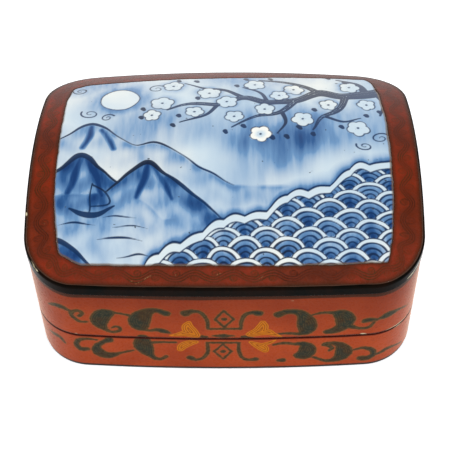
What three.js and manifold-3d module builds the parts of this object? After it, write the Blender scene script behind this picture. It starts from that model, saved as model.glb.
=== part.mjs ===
// A lacquered wooden box with a lift-off lid. The lid's arched top is inlaid with a curved piece
// of porcelain. Millimetres, +Z up. The origin lies on the table under the middle of the box,
// and the front faces -Y.

import * as THREE from 'three';
import { mergeVertices } from 'three/addons/utils/BufferGeometryUtils.js';
import Module from 'manifold-3d';

const wasm = await Module();
wasm.setup();

// The whole box, outside
const boxWidth = 160; // across the middle of the bowed ends
const boxDepth = 124; // across the middle of the bowed front and back
const baseHeight = 22.5; // table to seam
const lidSideHeight = 32.3; // seam to the lid's top edge, at the corners
const archRise = 13.2; // arch of the lid from front to back
const crownRise = 3.4; // crown of the lid from end to end
const frontBow = 3.5; // bulge of the front and the back
const endBow = 1.6; // bulge of the two ends
const cornerRadius = 22; // upright corners, outside

// Clearances
const bond = 0.3; // glue or ground between two layers
const jointGap = 0.3; // round a tongue, and between a board's end and its corner block
const seamGap = 0.4; // between the lid and the base
const lipClearance = 0.4; // between the lip and the inside of the lid
const shardGap = 0.4; // round the porcelain

// Layers of the walls, from outside in
const coatThickness = 1; // cloth, ground and lacquer
const edgeCoatThickness = 0.6; // the same coat where it turns over the walls' edges
const baseBoardThickness = 5.4;
const lipThickness = 2;
const lipStand = 5; // how far the lip stands above the seam
const lipChamfer = 0.7; // on the lip's two upper edges
const liningThickness = 0.6;

// Floor of the base
const footThickness = 1.2; // black coat under the box, which it stands on
const footInset = 0.25;
const bottomBoardThickness = 4;
const rebateWidth = 2.4; // the ledge that the bottom board fits under
const floorLiningThickness = 0.6;

// Tongues on the boards' ends
const tongueLength = 4;
const tongueThickness = 1.6;
const tongueMargin = 1.8; // wood left above and below a tongue
const tongueRoot = 1.5; // how deep a tongue starts inside its board

// Layers of the lid's top, measured straight down from its surface
const shardThickness = 4;
const beddingThickness = 0.9;
const rimCoatThickness = 0.9;
const panelThickness = 3.5;

// Black edge band, round the top edge of the lid
const bandHeight = 4.9;
const bandWidth = 1.2;
const bandOverhang = 0.35;
const bandRound = 0.8; // its outer upper edge

// Red rim round the porcelain, and how the broken edge of the porcelain wanders
const rimAtEnds = 10.8;
const rimAtFront = 8.1;
const rimAtBack = 6.6;
const beddingInset = 0.8; // the bedding stops short of the porcelain's edge

// Steps along the curves
const cornerSteps = 8;
const frontSteps = 8;
const endSteps = 8;
const archSteps = 16;
const crownSteps = 8;
const roundSteps = 3;

const redLacquer = new THREE.MeshStandardMaterial({ color: 0xae3b22, roughness: 0.3, metalness: 0 });
const rimLacquer = new THREE.MeshStandardMaterial({ color: 0x82301c, roughness: 0.28, metalness: 0 });
const blackLacquer = new THREE.MeshStandardMaterial({ color: 0x14130f, roughness: 0.2, metalness: 0 });
const wood = new THREE.MeshStandardMaterial({ color: 0xb08a5c, roughness: 0.75, metalness: 0 });
const ground = new THREE.MeshStandardMaterial({ color: 0x6c6258, roughness: 0.9, metalness: 0 });
const porcelain = new THREE.MeshStandardMaterial({ color: 0xd3e0ea, roughness: 0.12, metalness: 0 });

// Insets from the outside of the walls
const woodInset = coatThickness + bond;
const wallInset = woodInset + baseBoardThickness;
const rebateInset = wallInset - rebateWidth;
const bottomInset = rebateInset + jointGap;
const lipInset = wallInset + bond;
const lipInnerInset = lipInset + lipThickness;
const floorInset = lipInnerInset + bond;
const lidInnerInset = lipInset - lipClearance;
const liningInset = lidInnerInset - liningThickness;
const lidWallInset = liningInset - bond;
const bandInset = bandWidth - bandOverhang;
const rimInset = bandInset + bond;

// Heights in the base
const boardBottom = footThickness + bond;
const bottomBoardTop = boardBottom + bottomBoardThickness;
const rebateTop = bottomBoardTop + bond;
const baseCoatTop = baseHeight - seamGap / 2;
const baseBoardTop = baseCoatTop - edgeCoatThickness - bond;
const lipTop = baseHeight + lipStand;

// Heights and depths in the lid
const lidBottom = baseHeight + seamGap / 2;
const lidBoardBottom = lidBottom + edgeCoatThickness + bond;
const beddingDepth = shardThickness + bond;
const panelDepth = beddingDepth + beddingThickness + bond;
const rimGroundDepth = rimCoatThickness + bond;
const underPanelDepth = panelDepth + panelThickness + bond;
const ceilingDepth = underPanelDepth + liningThickness;
const cornerTop = baseHeight + lidSideHeight;

// Arcs of the outline: two long bowed pairs joined by four corner arcs that touch both
function arcRadius(halfChord, rise) {
  return (halfChord ** 2 + rise ** 2) / (2 * rise);
}

const halfWidth = boxWidth / 2;
const halfDepth = boxDepth / 2;
const frontChord = halfWidth - endBow;
const endChord = halfDepth - frontBow;
const frontArcRadius = arcRadius(frontChord, frontBow);
const endArcRadius = arcRadius(endChord, endBow);
const frontCentre = new THREE.Vector2(0, frontArcRadius - halfDepth);
const endCentre = new THREE.Vector2(halfWidth - endArcRadius, 0);

function frontRightCornerCentre() {
  const fromFront = frontArcRadius - cornerRadius;
  const fromEnd = endArcRadius - cornerRadius;
  const between = endCentre.clone().sub(frontCentre);
  const distance = between.length();
  const unit = between.clone().divideScalar(distance);
  const along = (fromFront ** 2 - fromEnd ** 2 + distance ** 2) / (2 * distance);
  const aside = Math.sqrt(fromFront ** 2 - along ** 2);
  const foot = frontCentre.clone().addScaledVector(unit, along);
  return foot.addScaledVector(new THREE.Vector2(-unit.y, unit.x), aside);
}

const corner = frontRightCornerCentre();
const frontTurn = corner.clone().sub(frontCentre).angle() - 2 * Math.PI; // front arc meets corner
const endTurn = corner.clone().sub(endCentre).angle() - 2 * Math.PI; // corner meets end arc

// A station is a place on the outline: an arc's centre and radius, and an angle on it
function arcRun(x, y, radius, from, to, steps) {
  const stations = [];
  for (let i = 0; i <= steps; i += 1) {
    stations.push({ x, y, radius, angle: from + ((to - from) * i) / steps });
  }
  return stations;
}

const runs = {
  front: arcRun(0, frontCentre.y, frontArcRadius, -Math.PI - frontTurn, frontTurn, frontSteps),
  front_right: arcRun(corner.x, corner.y, cornerRadius, frontTurn, endTurn, cornerSteps),
  right: arcRun(endCentre.x, 0, endArcRadius, endTurn, -endTurn, endSteps),
  back_right: arcRun(corner.x, -corner.y, cornerRadius, -endTurn, -frontTurn, cornerSteps),
  back: arcRun(0, -frontCentre.y, frontArcRadius, -frontTurn, Math.PI + frontTurn, frontSteps),
  back_left: arcRun(
    -corner.x, -corner.y, cornerRadius, Math.PI + frontTurn, Math.PI + endTurn, cornerSteps,
  ),
  left: arcRun(-endCentre.x, 0, endArcRadius, Math.PI + endTurn, Math.PI - endTurn, endSteps),
  front_left: arcRun(
    -corner.x, corner.y, cornerRadius, Math.PI - endTurn, Math.PI - frontTurn, cornerSteps,
  ),
};
const wholeLoop = Object.values(runs).flatMap((run) => run.slice(0, -1));

function pointAt(station, inset) {
  const reach = station.radius - inset;
  return new THREE.Vector2(
    station.x + reach * Math.cos(station.angle),
    station.y + reach * Math.sin(station.angle),
  );
}

// Height of the lid's top surface over a point of the plan
const archRadius = arcRadius(endChord, archRise);
const crownRadius = arcRadius(frontChord, crownRise);

function archHeight(y) {
  return Math.sqrt(archRadius ** 2 - y ** 2) - archRadius + archRise;
}

function crownHeight(x) {
  return Math.sqrt(crownRadius ** 2 - x ** 2) - crownRadius + crownRise;
}

function topHeight(station, inset, depth) {
  const place = pointAt(station, inset);
  return cornerTop + archHeight(place.y) + crownHeight(place.x) - depth;
}

// Geometry from a list of [x, y, z] and a list of triangles
function geometryFrom(vertices, triangles) {
  const geometry = new THREE.BufferGeometry();
  geometry.setAttribute('position', new THREE.Float32BufferAttribute(vertices.flat(), 3));
  geometry.setIndex(triangles.flat());
  return geometry;
}

// Sweeps a section along stations. The section lists [inset, height] from its outer lower corner
// upwards, over the top and down the inside. A run that isn't the whole loop gets end caps.
function sweep(stations, section) {
  const closed = stations === wholeLoop;
  const sections = stations.map((station) => section(station));
  const size = sections[0].length;
  const vertices = stations.flatMap((station, k) => sections[k].map(([inset, height]) => {
    const place = pointAt(station, inset);
    return [place.x, place.y, height];
  }));
  const triangles = [];
  const spans = closed ? stations.length : stations.length - 1;
  for (let k = 0; k < spans; k += 1) {
    const here = k * size;
    const next = ((k + 1) % stations.length) * size;
    for (let j = 0; j < size; j += 1) {
      const after = (j + 1) % size;
      triangles.push([here + j, next + j, next + after], [here + j, next + after, here + after]);
    }
  }
  if (!closed) {
    const flat = (pairs) => pairs.map(([inset, height]) => new THREE.Vector2(-inset, height));
    const last = (stations.length - 1) * size;
    THREE.ShapeUtils.triangulateShape(flat(sections[0]), []).forEach(([a, b, c]) => {
      triangles.push([a, b, c]);
    });
    THREE.ShapeUtils.triangulateShape(flat(sections.at(-1)), []).forEach(([a, b, c]) => {
      triangles.push([last + a, last + c, last + b]);
    });
  }
  return geometryFrom(vertices, triangles);
}

function prism(outline, bottom, top) {
  const geometry = new THREE.ExtrudeGeometry(new THREE.Shape(outline), {
    depth: top - bottom,
    bevelEnabled: false,
  });
  return geometry.translate(0, 0, bottom);
}

// The lid's top between two depths under its surface, reaching past the outline on all sides
function topLayer(upper, lower) {
  const reachX = halfWidth + coatThickness;
  const reachY = halfDepth + coatThickness;
  const across = Array.from({ length: archSteps + 1 }, (_, i) => reachY * ((2 * i) / archSteps - 1));
  const profile = [
    ...across.map((y) => new THREE.Vector2(y, archHeight(y) - lower)),
    ...across.toReversed().map((y) => new THREE.Vector2(y, archHeight(y) - upper)),
  ];
  const geometry = new THREE.ExtrudeGeometry(new THREE.Shape(profile), {
    depth: 2 * reachX,
    steps: crownSteps,
    bevelEnabled: false,
  });
  const yAxis = new THREE.Vector3(0, 1, 0);
  const zAxis = new THREE.Vector3(0, 0, 1);
  const xAxis = new THREE.Vector3(1, 0, 0);
  geometry.applyMatrix4(new THREE.Matrix4().makeBasis(yAxis, zAxis, xAxis));
  geometry.translate(-reachX, 0, cornerTop);
  const position = geometry.getAttribute('position');
  for (let i = 0; i < position.count; i += 1) {
    position.setZ(i, position.getZ(i) + crownHeight(position.getX(i)));
  }
  return geometry;
}

// Solids that can be joined and cut, and back again
function solidFrom(geometry) {
  const bare = geometry.clone();
  bare.deleteAttribute('normal');
  bare.deleteAttribute('uv');
  const merged = mergeVertices(bare, 1e-4);
  return new wasm.Manifold(new wasm.Mesh({
    numProp: 3,
    vertProperties: new Float32Array(merged.getAttribute('position').array),
    triVerts: new Uint32Array(merged.getIndex().array),
  }));
}

function geometryOf(solid) {
  const mesh = solid.getMesh();
  const geometry = new THREE.BufferGeometry();
  geometry.setAttribute('position', new THREE.BufferAttribute(mesh.vertProperties, 3));
  geometry.setIndex(new THREE.BufferAttribute(mesh.triVerts, 1));
  return geometry;
}

// Plan shapes that the top's pieces are cut to
const tall = cornerTop + archRise + crownRise + coatThickness;

function planPrism(inset) {
  return solidFrom(prism(wholeLoop.map((station) => pointAt(station, inset)), 0, tall));
}

// The porcelain's broken edge, anticlockwise from its front left corner. Each point gives
// fractions of the half sizes, and then how far the edge is chipped back there along x and y.
const shardEdge = [
  [-0.82, -1, 0, 1.6],
  [-0.6, -1, 0, 0.8],
  [-0.3, -1, 0, 0.3],
  [0.25, -1, 0, 0.1],
  [0.62, -1, 0, 0.9],
  [0.8, -1, 0, 1.9],
  [0.93, -1, 0, 2.6],
  [1, -0.9, 4.1, 0],
  [1, -0.8, 2.8, 0],
  [1, -0.5, 1.1, 0],
  [1, 0, 0.4, 0],
  [1, 0.36, 0.6, 0],
  [1, 0.72, 1.7, 0],
  [1, 0.92, 3.8, 0],
  [0.91, 1, 0, 0],
  [0.5, 1, 0, 0.2],
  [0.1, 1, 0, 1.1],
  [-0.3, 1, 0, 2],
  [-0.7, 1, 0, 4],
  [-0.9, 1, 0, 5.4],
  [-1, 0.84, 1.4, 0],
  [-1, 0.64, -0.2, 0],
  [-1, 0.3, -0.3, 0],
  [-1, -0.1, 0, 0],
  [-1, -0.46, 0.5, 0],
  [-1, -0.8, 2.9, 0],
  [-1, -0.89, 4.2, 0],
];

// The edge moved outwards by a distance, or inwards by a negative one
function shardOutline(grow) {
  const centreY = (rimAtFront - rimAtBack) / 2;
  const half = new THREE.Vector2(halfWidth - rimAtEnds, halfDepth - (rimAtFront + rimAtBack) / 2);
  const edge = shardEdge.map(([alongX, alongY, chipX, chipY]) => new THREE.Vector2(
    alongX * half.x - Math.sign(alongX) * chipX,
    alongY * half.y - Math.sign(alongY) * chipY + centreY,
  ));
  return edge.map((point, i) => {
    const before = edge.at(i - 1);
    const after = edge[(i + 1) % edge.length];
    const sideIn = point.clone().sub(before).normalize();
    const sideOut = after.clone().sub(point).normalize();
    const normalIn = new THREE.Vector2(sideIn.y, -sideIn.x);
    const normalOut = new THREE.Vector2(sideOut.y, -sideOut.x);
    const mitre = normalIn.clone().add(normalOut).normalize();
    return point.clone().addScaledVector(mitre, grow / mitre.dot(normalIn));
  });
}

function shardPrism(grow) {
  return solidFrom(prism(shardOutline(grow), 0, tall));
}

// A tongue on the end of a board, or the groove for it. direction is 1 at the end of a run and
// -1 at its start. bottom and top are the tongue's own, and the groove is larger all round.
function tongueSolid(station, direction, inset, bottom, top, isGroove) {
  const slack = isGroove ? jointGap : 0;
  const start = -(jointGap + tongueRoot);
  const end = tongueLength + slack;
  const box = new THREE.BoxGeometry(
    tongueThickness + 2 * slack, end - start, top - bottom + 2 * slack,
  );
  box.translate(0, direction * (start + end) / 2, (bottom + top) / 2);
  box.rotateZ(station.angle);
  const place = pointAt(station, inset);
  box.translate(place.x, place.y, 0);
  return solidFrom(box);
}

function trimmed(run) {
  const ends = [run[0], run.at(-1)];
  const slip = jointGap / run[0].radius;
  return [
    { ...ends[0], angle: ends[0].angle + slip },
    ...run.slice(1, -1),
    { ...ends[1], angle: ends[1].angle - slip },
  ];
}

// wall: { section, inset of the tongues, tongueBottom, tongueTop(station) }
function boardGeometry(runName, wall) {
  const run = runs[runName];
  let board = solidFrom(sweep(trimmed(run), wall.section));
  [[run[0], -1], [run.at(-1), 1]].forEach(([station, direction]) => {
    const top = wall.tongueTop(station);
    board = board.add(
      tongueSolid(station, direction, wall.tongueInset, wall.tongueBottom, top, false),
    );
  });
  return geometryOf(board);
}

function cornerGeometry(runName, wall) {
  const run = runs[runName];
  let block = solidFrom(sweep(run, wall.section));
  [[run[0], 1], [run.at(-1), -1]].forEach(([station, direction]) => {
    const top = wall.tongueTop(station);
    block = block.subtract(
      tongueSolid(station, direction, wall.tongueInset, wall.tongueBottom, top, true),
    );
  });
  return geometryOf(block);
}

const baseWall = {
  section: () => [
    [woodInset, boardBottom], [woodInset, baseBoardTop], [wallInset, baseBoardTop],
    [wallInset, rebateTop], [rebateInset, rebateTop], [rebateInset, boardBottom],
  ],
  tongueInset: (woodInset + wallInset) / 2,
  tongueBottom: rebateTop + tongueMargin,
  tongueTop: () => baseBoardTop - tongueMargin,
};

const lidWall = {
  section: (station) => [
    [woodInset, lidBoardBottom],
    [woodInset, topHeight(station, woodInset, underPanelDepth)],
    [lidWallInset, topHeight(station, lidWallInset, underPanelDepth)],
    [lidWallInset, lidBoardBottom],
  ],
  tongueInset: (woodInset + lidWallInset) / 2,
  tongueBottom: lidBoardBottom + tongueMargin,
  tongueTop: (station) => topHeight(station, woodInset, underPanelDepth) - tongueMargin,
};

const base = new THREE.Group();
const lid = new THREE.Group();

function addPiece(group, name, geometry, material) {
  const mesh = new THREE.Mesh(geometry, material);
  mesh.name = name;
  group.add(mesh);
}

// Walls of the base and of the lid: four boards with tongues, and four grooved corner blocks
[['base', base, baseWall], ['lid', lid, lidWall]].forEach(([prefix, group, wall]) => {
  ['front', 'back', 'left', 'right'].forEach((side) => {
    addPiece(group, `${prefix}_${side}_board`, boardGeometry(side, wall), wood);
  });
  ['front_left', 'front_right', 'back_left', 'back_right'].forEach((place) => {
    addPiece(group, `${prefix}_${place}_corner`, cornerGeometry(place, wall), wood);
  });
});

// Floor of the base
function plate(inset, bottom, top) {
  return prism(wholeLoop.map((station) => pointAt(station, inset)), bottom, top);
}

addPiece(base, 'bottom_board', plate(bottomInset, boardBottom, bottomBoardTop), wood);
addPiece(base, 'underside_coat', plate(footInset, 0, footThickness), blackLacquer);
addPiece(
  base, 'floor_lining', plate(floorInset, rebateTop, rebateTop + floorLiningThickness), blackLacquer,
);

// Bent strip inside the base, which stands up above the seam to locate the lid
addPiece(base, 'inner_lip', sweep(wholeLoop, () => [
  [lipInset, rebateTop],
  [lipInset, lipTop - lipChamfer],
  [lipInset + lipChamfer, lipTop],
  [lipInnerInset - lipChamfer, lipTop],
  [lipInnerInset, lipTop - lipChamfer],
  [lipInnerInset, rebateTop],
]), blackLacquer);

// Red coat of the base, turned over the walls' upper edge as far as the lip
addPiece(base, 'base_lacquer_coat', sweep(wholeLoop, () => [
  [0, boardBottom],
  [0, baseCoatTop],
  [wallInset, baseCoatTop],
  [wallInset, baseCoatTop - edgeCoatThickness],
  [coatThickness, baseCoatTop - edgeCoatThickness],
  [coatThickness, boardBottom],
]), redLacquer);

// Red coat of the lid, turned under the walls' lower edge, up to the black band
addPiece(lid, 'lid_lacquer_coat', sweep(wholeLoop, (station) => {
  const coatTop = topHeight(station, 0, bandHeight + bond);
  return [
    [0, lidBottom],
    [0, coatTop],
    [coatThickness, coatTop],
    [coatThickness, lidBottom + edgeCoatThickness],
    [lidWallInset, lidBottom + edgeCoatThickness],
    [lidWallInset, lidBottom],
  ];
}), redLacquer);

// Black band round the lid's top edge, with its outer upper edge rounded
addPiece(lid, 'edge_band', sweep(wholeLoop, (station) => {
  const bandBottom = topHeight(station, 0, bandHeight);
  const rounded = Array.from({ length: roundSteps + 1 }, (_, i) => {
    const turn = (Math.PI / 2) * (i / roundSteps);
    const inset = bandRound * (1 - Math.cos(turn)) - bandOverhang;
    return [inset, topHeight(station, inset, bandRound * (1 - Math.sin(turn)))];
  });
  return [
    [-bandOverhang, bandBottom],
    ...rounded,
    [bandInset, topHeight(station, bandInset, 0)],
    [bandInset, topHeight(station, bandInset, panelDepth - bond)],
  ];
}), blackLacquer);

// The arched top: panel, bedding, porcelain, and the built-up red rim round it
const rimPlan = planPrism(rimInset);
const rimOpening = shardPrism(shardGap);
const panel = solidFrom(topLayer(panelDepth, underPanelDepth - bond)).intersect(planPrism(woodInset));
addPiece(lid, 'top_panel', geometryOf(panel), wood);

const bedding = solidFrom(topLayer(beddingDepth, panelDepth - bond))
  .intersect(shardPrism(-beddingInset));
addPiece(lid, 'shard_bedding', geometryOf(bedding), ground);

const shard = solidFrom(topLayer(0, shardThickness)).intersect(shardPrism(0));
addPiece(lid, 'porcelain_shard', geometryOf(shard), porcelain);

const rimGround = solidFrom(topLayer(rimGroundDepth, panelDepth - bond))
  .intersect(rimPlan).subtract(rimOpening);
addPiece(lid, 'rim_ground', geometryOf(rimGround), ground);

const rimCoat = solidFrom(topLayer(0, rimCoatThickness)).intersect(rimPlan).subtract(rimOpening);
addPiece(lid, 'rim_lacquer', geometryOf(rimCoat), rimLacquer);

// Black lining inside the lid: a thin wall all round, closed by a ceiling under the panel
const liningWall = solidFrom(sweep(wholeLoop, (station) => [
  [liningInset, lidBottom],
  [liningInset, topHeight(station, liningInset, (underPanelDepth + ceilingDepth) / 2)],
  [lidInnerInset, topHeight(station, lidInnerInset, (underPanelDepth + ceilingDepth) / 2)],
  [lidInnerInset, lidBottom],
]));
const ceiling = solidFrom(topLayer(underPanelDepth, ceilingDepth)).intersect(planPrism(liningInset));
addPiece(lid, 'lid_lining', geometryOf(liningWall.add(ceiling)), blackLacquer);

const box = new THREE.Group();
box.add(base, lid);

export default box;
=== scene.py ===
import math

import bmesh
import bpy
import numpy as np
from mathutils import Matrix, Vector
from mathutils.geometry import convex_hull_2d


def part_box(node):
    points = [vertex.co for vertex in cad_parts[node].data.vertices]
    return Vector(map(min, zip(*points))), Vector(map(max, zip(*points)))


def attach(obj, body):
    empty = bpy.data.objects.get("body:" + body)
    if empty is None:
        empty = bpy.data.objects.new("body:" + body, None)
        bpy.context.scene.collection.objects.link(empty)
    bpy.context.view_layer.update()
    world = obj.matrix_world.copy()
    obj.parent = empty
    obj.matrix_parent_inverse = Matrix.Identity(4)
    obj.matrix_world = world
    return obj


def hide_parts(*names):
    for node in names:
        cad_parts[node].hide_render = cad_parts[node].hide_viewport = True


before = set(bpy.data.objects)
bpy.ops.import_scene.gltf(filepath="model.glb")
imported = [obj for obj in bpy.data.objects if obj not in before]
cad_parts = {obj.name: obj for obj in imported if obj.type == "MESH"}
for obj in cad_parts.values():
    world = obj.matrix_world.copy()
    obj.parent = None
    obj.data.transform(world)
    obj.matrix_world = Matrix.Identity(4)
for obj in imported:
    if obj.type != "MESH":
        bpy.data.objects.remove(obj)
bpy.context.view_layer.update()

mm = 0.001  # pieces are shaped in millimetres and turned to metres at the end
bond = 0.3  # mm between two pieces, for glue and ground
unpainted = 4.0  # mm from a stroke, stands for no paint nearby
mergeDistance = 0.003  # mm between points that become one
print("frame loaded:", len(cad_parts), "nodes")


def cadBox(node):
    low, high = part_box(node)
    return np.array(low) / mm, np.array(high) / mm


def cadInset(node):
    return plan["halfWidth"] - cadBox(node)[1][0]


# Plan of the box in mm: bowed sides, joined by corner arcs that touch both
plan = {
    "halfWidth": cadBox("base_lacquer_coat")[1][0],
    "halfDepth": cadBox("base_lacquer_coat")[1][1],
    "frontBow": 3.5,
    "endBow": 1.6,
    "cornerRadius": 22.0,
    "archRise": 13.2,
    "crownRise": 3.4,
    "fineStations": 1052,
    "stations": 528,
}


def arcRadius(halfChord, rise):
    return (halfChord ** 2 + rise ** 2) / (2 * rise)


frontChord = plan["halfWidth"] - plan["endBow"]
endChord = plan["halfDepth"] - plan["frontBow"]
frontRadius = arcRadius(frontChord, plan["frontBow"])
endRadius = arcRadius(endChord, plan["endBow"])
archRadius = arcRadius(endChord, plan["archRise"])
crownRadius = arcRadius(frontChord, plan["crownRise"])
frontCentre = np.array([0.0, frontRadius - plan["halfDepth"]])
endCentre = np.array([plan["halfWidth"] - endRadius, 0.0])
cornerTop = cadBox("porcelain_shard")[1][2] - plan["archRise"] - plan["crownRise"]


def cornerCentre():
    fromFront = frontRadius - plan["cornerRadius"]
    fromEnd = endRadius - plan["cornerRadius"]
    between = endCentre - frontCentre
    distance = np.hypot(*between)
    unit = between / distance
    along = (fromFront ** 2 - fromEnd ** 2 + distance ** 2) / (2 * distance)
    aside = math.sqrt(fromFront ** 2 - along ** 2)
    return frontCentre + unit * along + np.array([-unit[1], unit[0]]) * aside


corner = cornerCentre()
frontTurn = math.atan2(*(corner - frontCentre)[::-1])
endTurn = math.atan2(*(corner - endCentre)[::-1])
frontLength = frontRadius * (frontTurn + math.pi / 2)
cornerLength = plan["cornerRadius"] * (endTurn - frontTurn)
quarter = frontLength + cornerLength - endRadius * endTurn
perimeter = 4 * quarter
fineAlong = np.linspace(0, perimeter, plan["fineStations"] + 1)
plainAlong = np.linspace(0, perimeter, plan["stations"] + 1)
arcs = [(frontCentre, frontRadius), (endCentre, endRadius), (corner, plan["cornerRadius"])]


def byArc(onFront, onEnd, front, end, turn):
    # the value of the arc that each place belongs to
    return np.where(onFront, front, np.where(onEnd, end, turn))


def outlineAt(along):
    # arc centre, radius and outward direction at distances along the outline from its front middle
    along = np.asarray(along, float) % perimeter
    part = np.minimum(along // quarter, 3).astype(int)
    inPart = np.where(part % 2 == 0, along - part * quarter, (part + 1) * quarter - along)
    place = inPart < frontLength, inPart > frontLength + cornerLength
    angle = byArc(
        *place, -math.pi / 2 + inPart / frontRadius, (inPart - quarter) / endRadius,
        frontTurn + (inPart - frontLength) / plan["cornerRadius"])
    radius = byArc(*place, *[radius for centre, radius in arcs])
    centreX, centreY = [byArc(*place, *[centre[axis] for centre, radius in arcs]) for axis in (0, 1)]
    turnX = np.where(part < 2, 1, -1)
    turnY = np.where((part == 0) | (part == 3), 1, -1)
    return (centreX * turnX, centreY * turnY, radius, np.cos(angle) * turnX, np.sin(angle) * turnY)


def pointAt(along, inset):
    centreX, centreY, radius, outX, outY = outlineAt(along)
    return centreX + (radius - inset) * outX, centreY + (radius - inset) * outY


def unroll(x, y):
    # distance along the outline and inset from it, for any place near it
    ax, ay = np.abs(x), -np.abs(y)
    front, end, turn = [np.arctan2(ay - centre[1], ax - centre[0]) for centre, radius in arcs]
    onFront = front < frontTurn
    onEnd = ~onFront & (end > endTurn)
    inPart = byArc(
        onFront, onEnd, frontRadius * (front + math.pi / 2), quarter + endRadius * end,
        frontLength + plan["cornerRadius"] * (turn - frontTurn))
    insets = [radius - np.hypot(ax - centre[0], ay - centre[1]) for centre, radius in arcs]
    along = np.where(y > 0, 2 * quarter - inPart, inPart)
    return np.where(x < 0, -along, along), byArc(onFront, onEnd, *insets)


def topHeight(x, y):
    arch = np.sqrt(archRadius ** 2 - y ** 2) - archRadius + plan["archRise"]
    crown = np.sqrt(crownRadius ** 2 - x ** 2) - crownRadius + plan["crownRise"]
    return cornerTop + arch + crown


def topAlong(along, inset=0):
    return topHeight(*pointAt(along, inset))


def underTop(x, y, depth):
    # places straight under the lid's surface
    return np.stack([x, y, topHeight(x, y) - depth], -1)


def wander(along, length, seed):
    # smooth unevenness of handwork, between about -1 and 1, that closes on itself round the outline
    turn = 2 * math.pi * np.round(perimeter / length) * np.asarray(along) / perimeter
    slow, quick = np.sin(2 * turn + 1.7 * seed) * 0.6, np.sin(5 * turn + seed ** 2) * 0.3
    return (np.sin(turn + seed) + slow + quick) / 1.9


def sectionRows(along, corners):
    # corners: inset, height, rounding and the steps of the run to the next corner
    spots = [np.stack(np.broadcast_arrays(inset, height, along)[:2]) for inset, height, *_ in corners]
    rows = []
    for k, (_, _, rounding, steps) in enumerate(corners):
        here, before, after = spots[k], spots[k - 1], spots[(k + 1) % len(spots)]
        toBefore = (before - here) / np.hypot(*(before - here))
        toAfter = (after - here) / np.hypot(*(after - here))
        count = 4 if rounding else 0
        for t in np.linspace(0, 1, count + 1):
            rows.append(here + rounding * ((1 - t) ** 2 * toBefore + t ** 2 * toAfter))
        start = here + rounding * toAfter
        end = after - corners[(k + 1) % len(corners)][2] * toAfter
        rows += [start + (end - start) * step / steps for step in range(1, steps)]
    return np.array(rows + rows[:1])


# Mesh helpers
def addGrid(bm, place):
    rows, columns = place.shape[:2]
    made = bmesh.ops.create_grid(bm, x_segments=columns - 1, y_segments=rows - 1, size=1)["verts"]
    for vert, spot in zip(made, place.reshape(-1, 3)):
        vert.co = spot
    return made


def finishPiece(bm, name, body, nodes, material):
    # returns the piece, and where its points are: in mm, and along the outline and inset from it
    bmesh.ops.remove_doubles(bm, verts=bm.verts, dist=mergeDistance)
    bmesh.ops.scale(bm, vec=(mm, mm, mm), verts=bm.verts)
    for face in bm.faces:
        face.smooth = True
    mesh = bpy.data.meshes.new(name)
    bm.to_mesh(mesh)
    bm.free()
    piece = bpy.data.objects.new(name, mesh)
    bpy.context.scene.collection.objects.link(piece)
    mesh.materials.append(material)
    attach(piece, body)
    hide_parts(*nodes)
    print("made", name, len(mesh.polygons), "faces")
    places = np.zeros(len(mesh.vertices) * 3)
    mesh.vertices.foreach_get("co", places)
    x, y, z = places.reshape(-1, 3).T / mm
    along, inset = unroll(x, y)
    return piece, {"x": x, "y": y, "z": z, "along": along, "inset": inset}


def makeRing(name, body, nodes, material, along, corners, onTop=False):
    # a section swept along the outline, with heights from the table or from the lid's surface
    rows = sectionRows(along, corners)
    x, y = pointAt(along, rows[:, 0])
    level = topHeight(x, y) if onTop else 0.0
    bm = bmesh.new()
    addGrid(bm, np.stack([x, y, level + rows[:, 1]], -1))
    return finishPiece(bm, name, body, nodes, material)


def paint(piece, **marks):
    # smooth values on the piece's points, which its material reads
    for name, values in marks.items():
        layer = piece.data.attributes.new(name, "FLOAT", "POINT")
        layer.data.foreach_set("value", np.full(len(layer.data), values, np.float32))


# Brush strokes: points through which the brush passes, each with half the stroke's width there
def smoothPath(points, steps=7):
    points = np.array(points, float)
    ends = np.vstack([2 * points[0] - points[1], points, 2 * points[-1] - points[-2]])
    path = []
    for before, start, end, after in zip(ends, ends[1:], ends[2:], ends[3:]):
        for t in np.arange(steps) / steps:
            curve = 2 * start + (end - before) * t + (2 * before - 5 * start + 4 * end - after) * t ** 2
            path.append((curve + (3 * start - before - 3 * end + after) * t ** 3) / 2)
    path = np.array(path + [points[-1]])
    path[:, 2] = np.maximum(path[:, 2], 0)
    return path


def strokeDistance(nearest, path, u, v):
    # lowers nearest to the signed distance from each place to the stroke, negative inside it
    pad = unpainted + path[:, 2].max()
    inReach = (u > path[:, 0].min() - pad) & (u < path[:, 0].max() + pad)
    inReach &= (v > path[:, 1].min() - pad) & (v < path[:, 1].max() + pad)
    picked = np.nonzero(inReach)[0]
    pu, pv = u[picked], v[picked]
    best = nearest[picked]
    for (u0, v0, r0), (u1, v1, r1) in zip(path[:-1], path[1:]):
        du, dv = u1 - u0, v1 - v0
        t = np.clip(((pu - u0) * du + (pv - v0) * dv) / max(du * du + dv * dv, 1e-9), 0, 1)
        gap = np.hypot(pu - u0 - t * du, pv - v0 - t * dv) - (r0 + t * (r1 - r0))
        best = np.minimum(best, gap)
    nearest[picked] = best


def brushDistance(strokes, u, v, smooth=True):
    nearest = np.full(u.shape, unpainted)
    for stroke in strokes:
        path = smoothPath(stroke) if smooth and len(stroke) > 2 else np.array(stroke, float)
        strokeDistance(nearest, path, u, v)
    return nearest


# Material helpers
def colour(hexCode):
    parts = [int(hexCode[i:i + 2], 16) / 255 for i in (1, 3, 5)]
    return [c / 12.92 if c <= 0.04045 else ((c + 0.055) / 1.055) ** 2.4 for c in parts] + [1.0]


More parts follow.
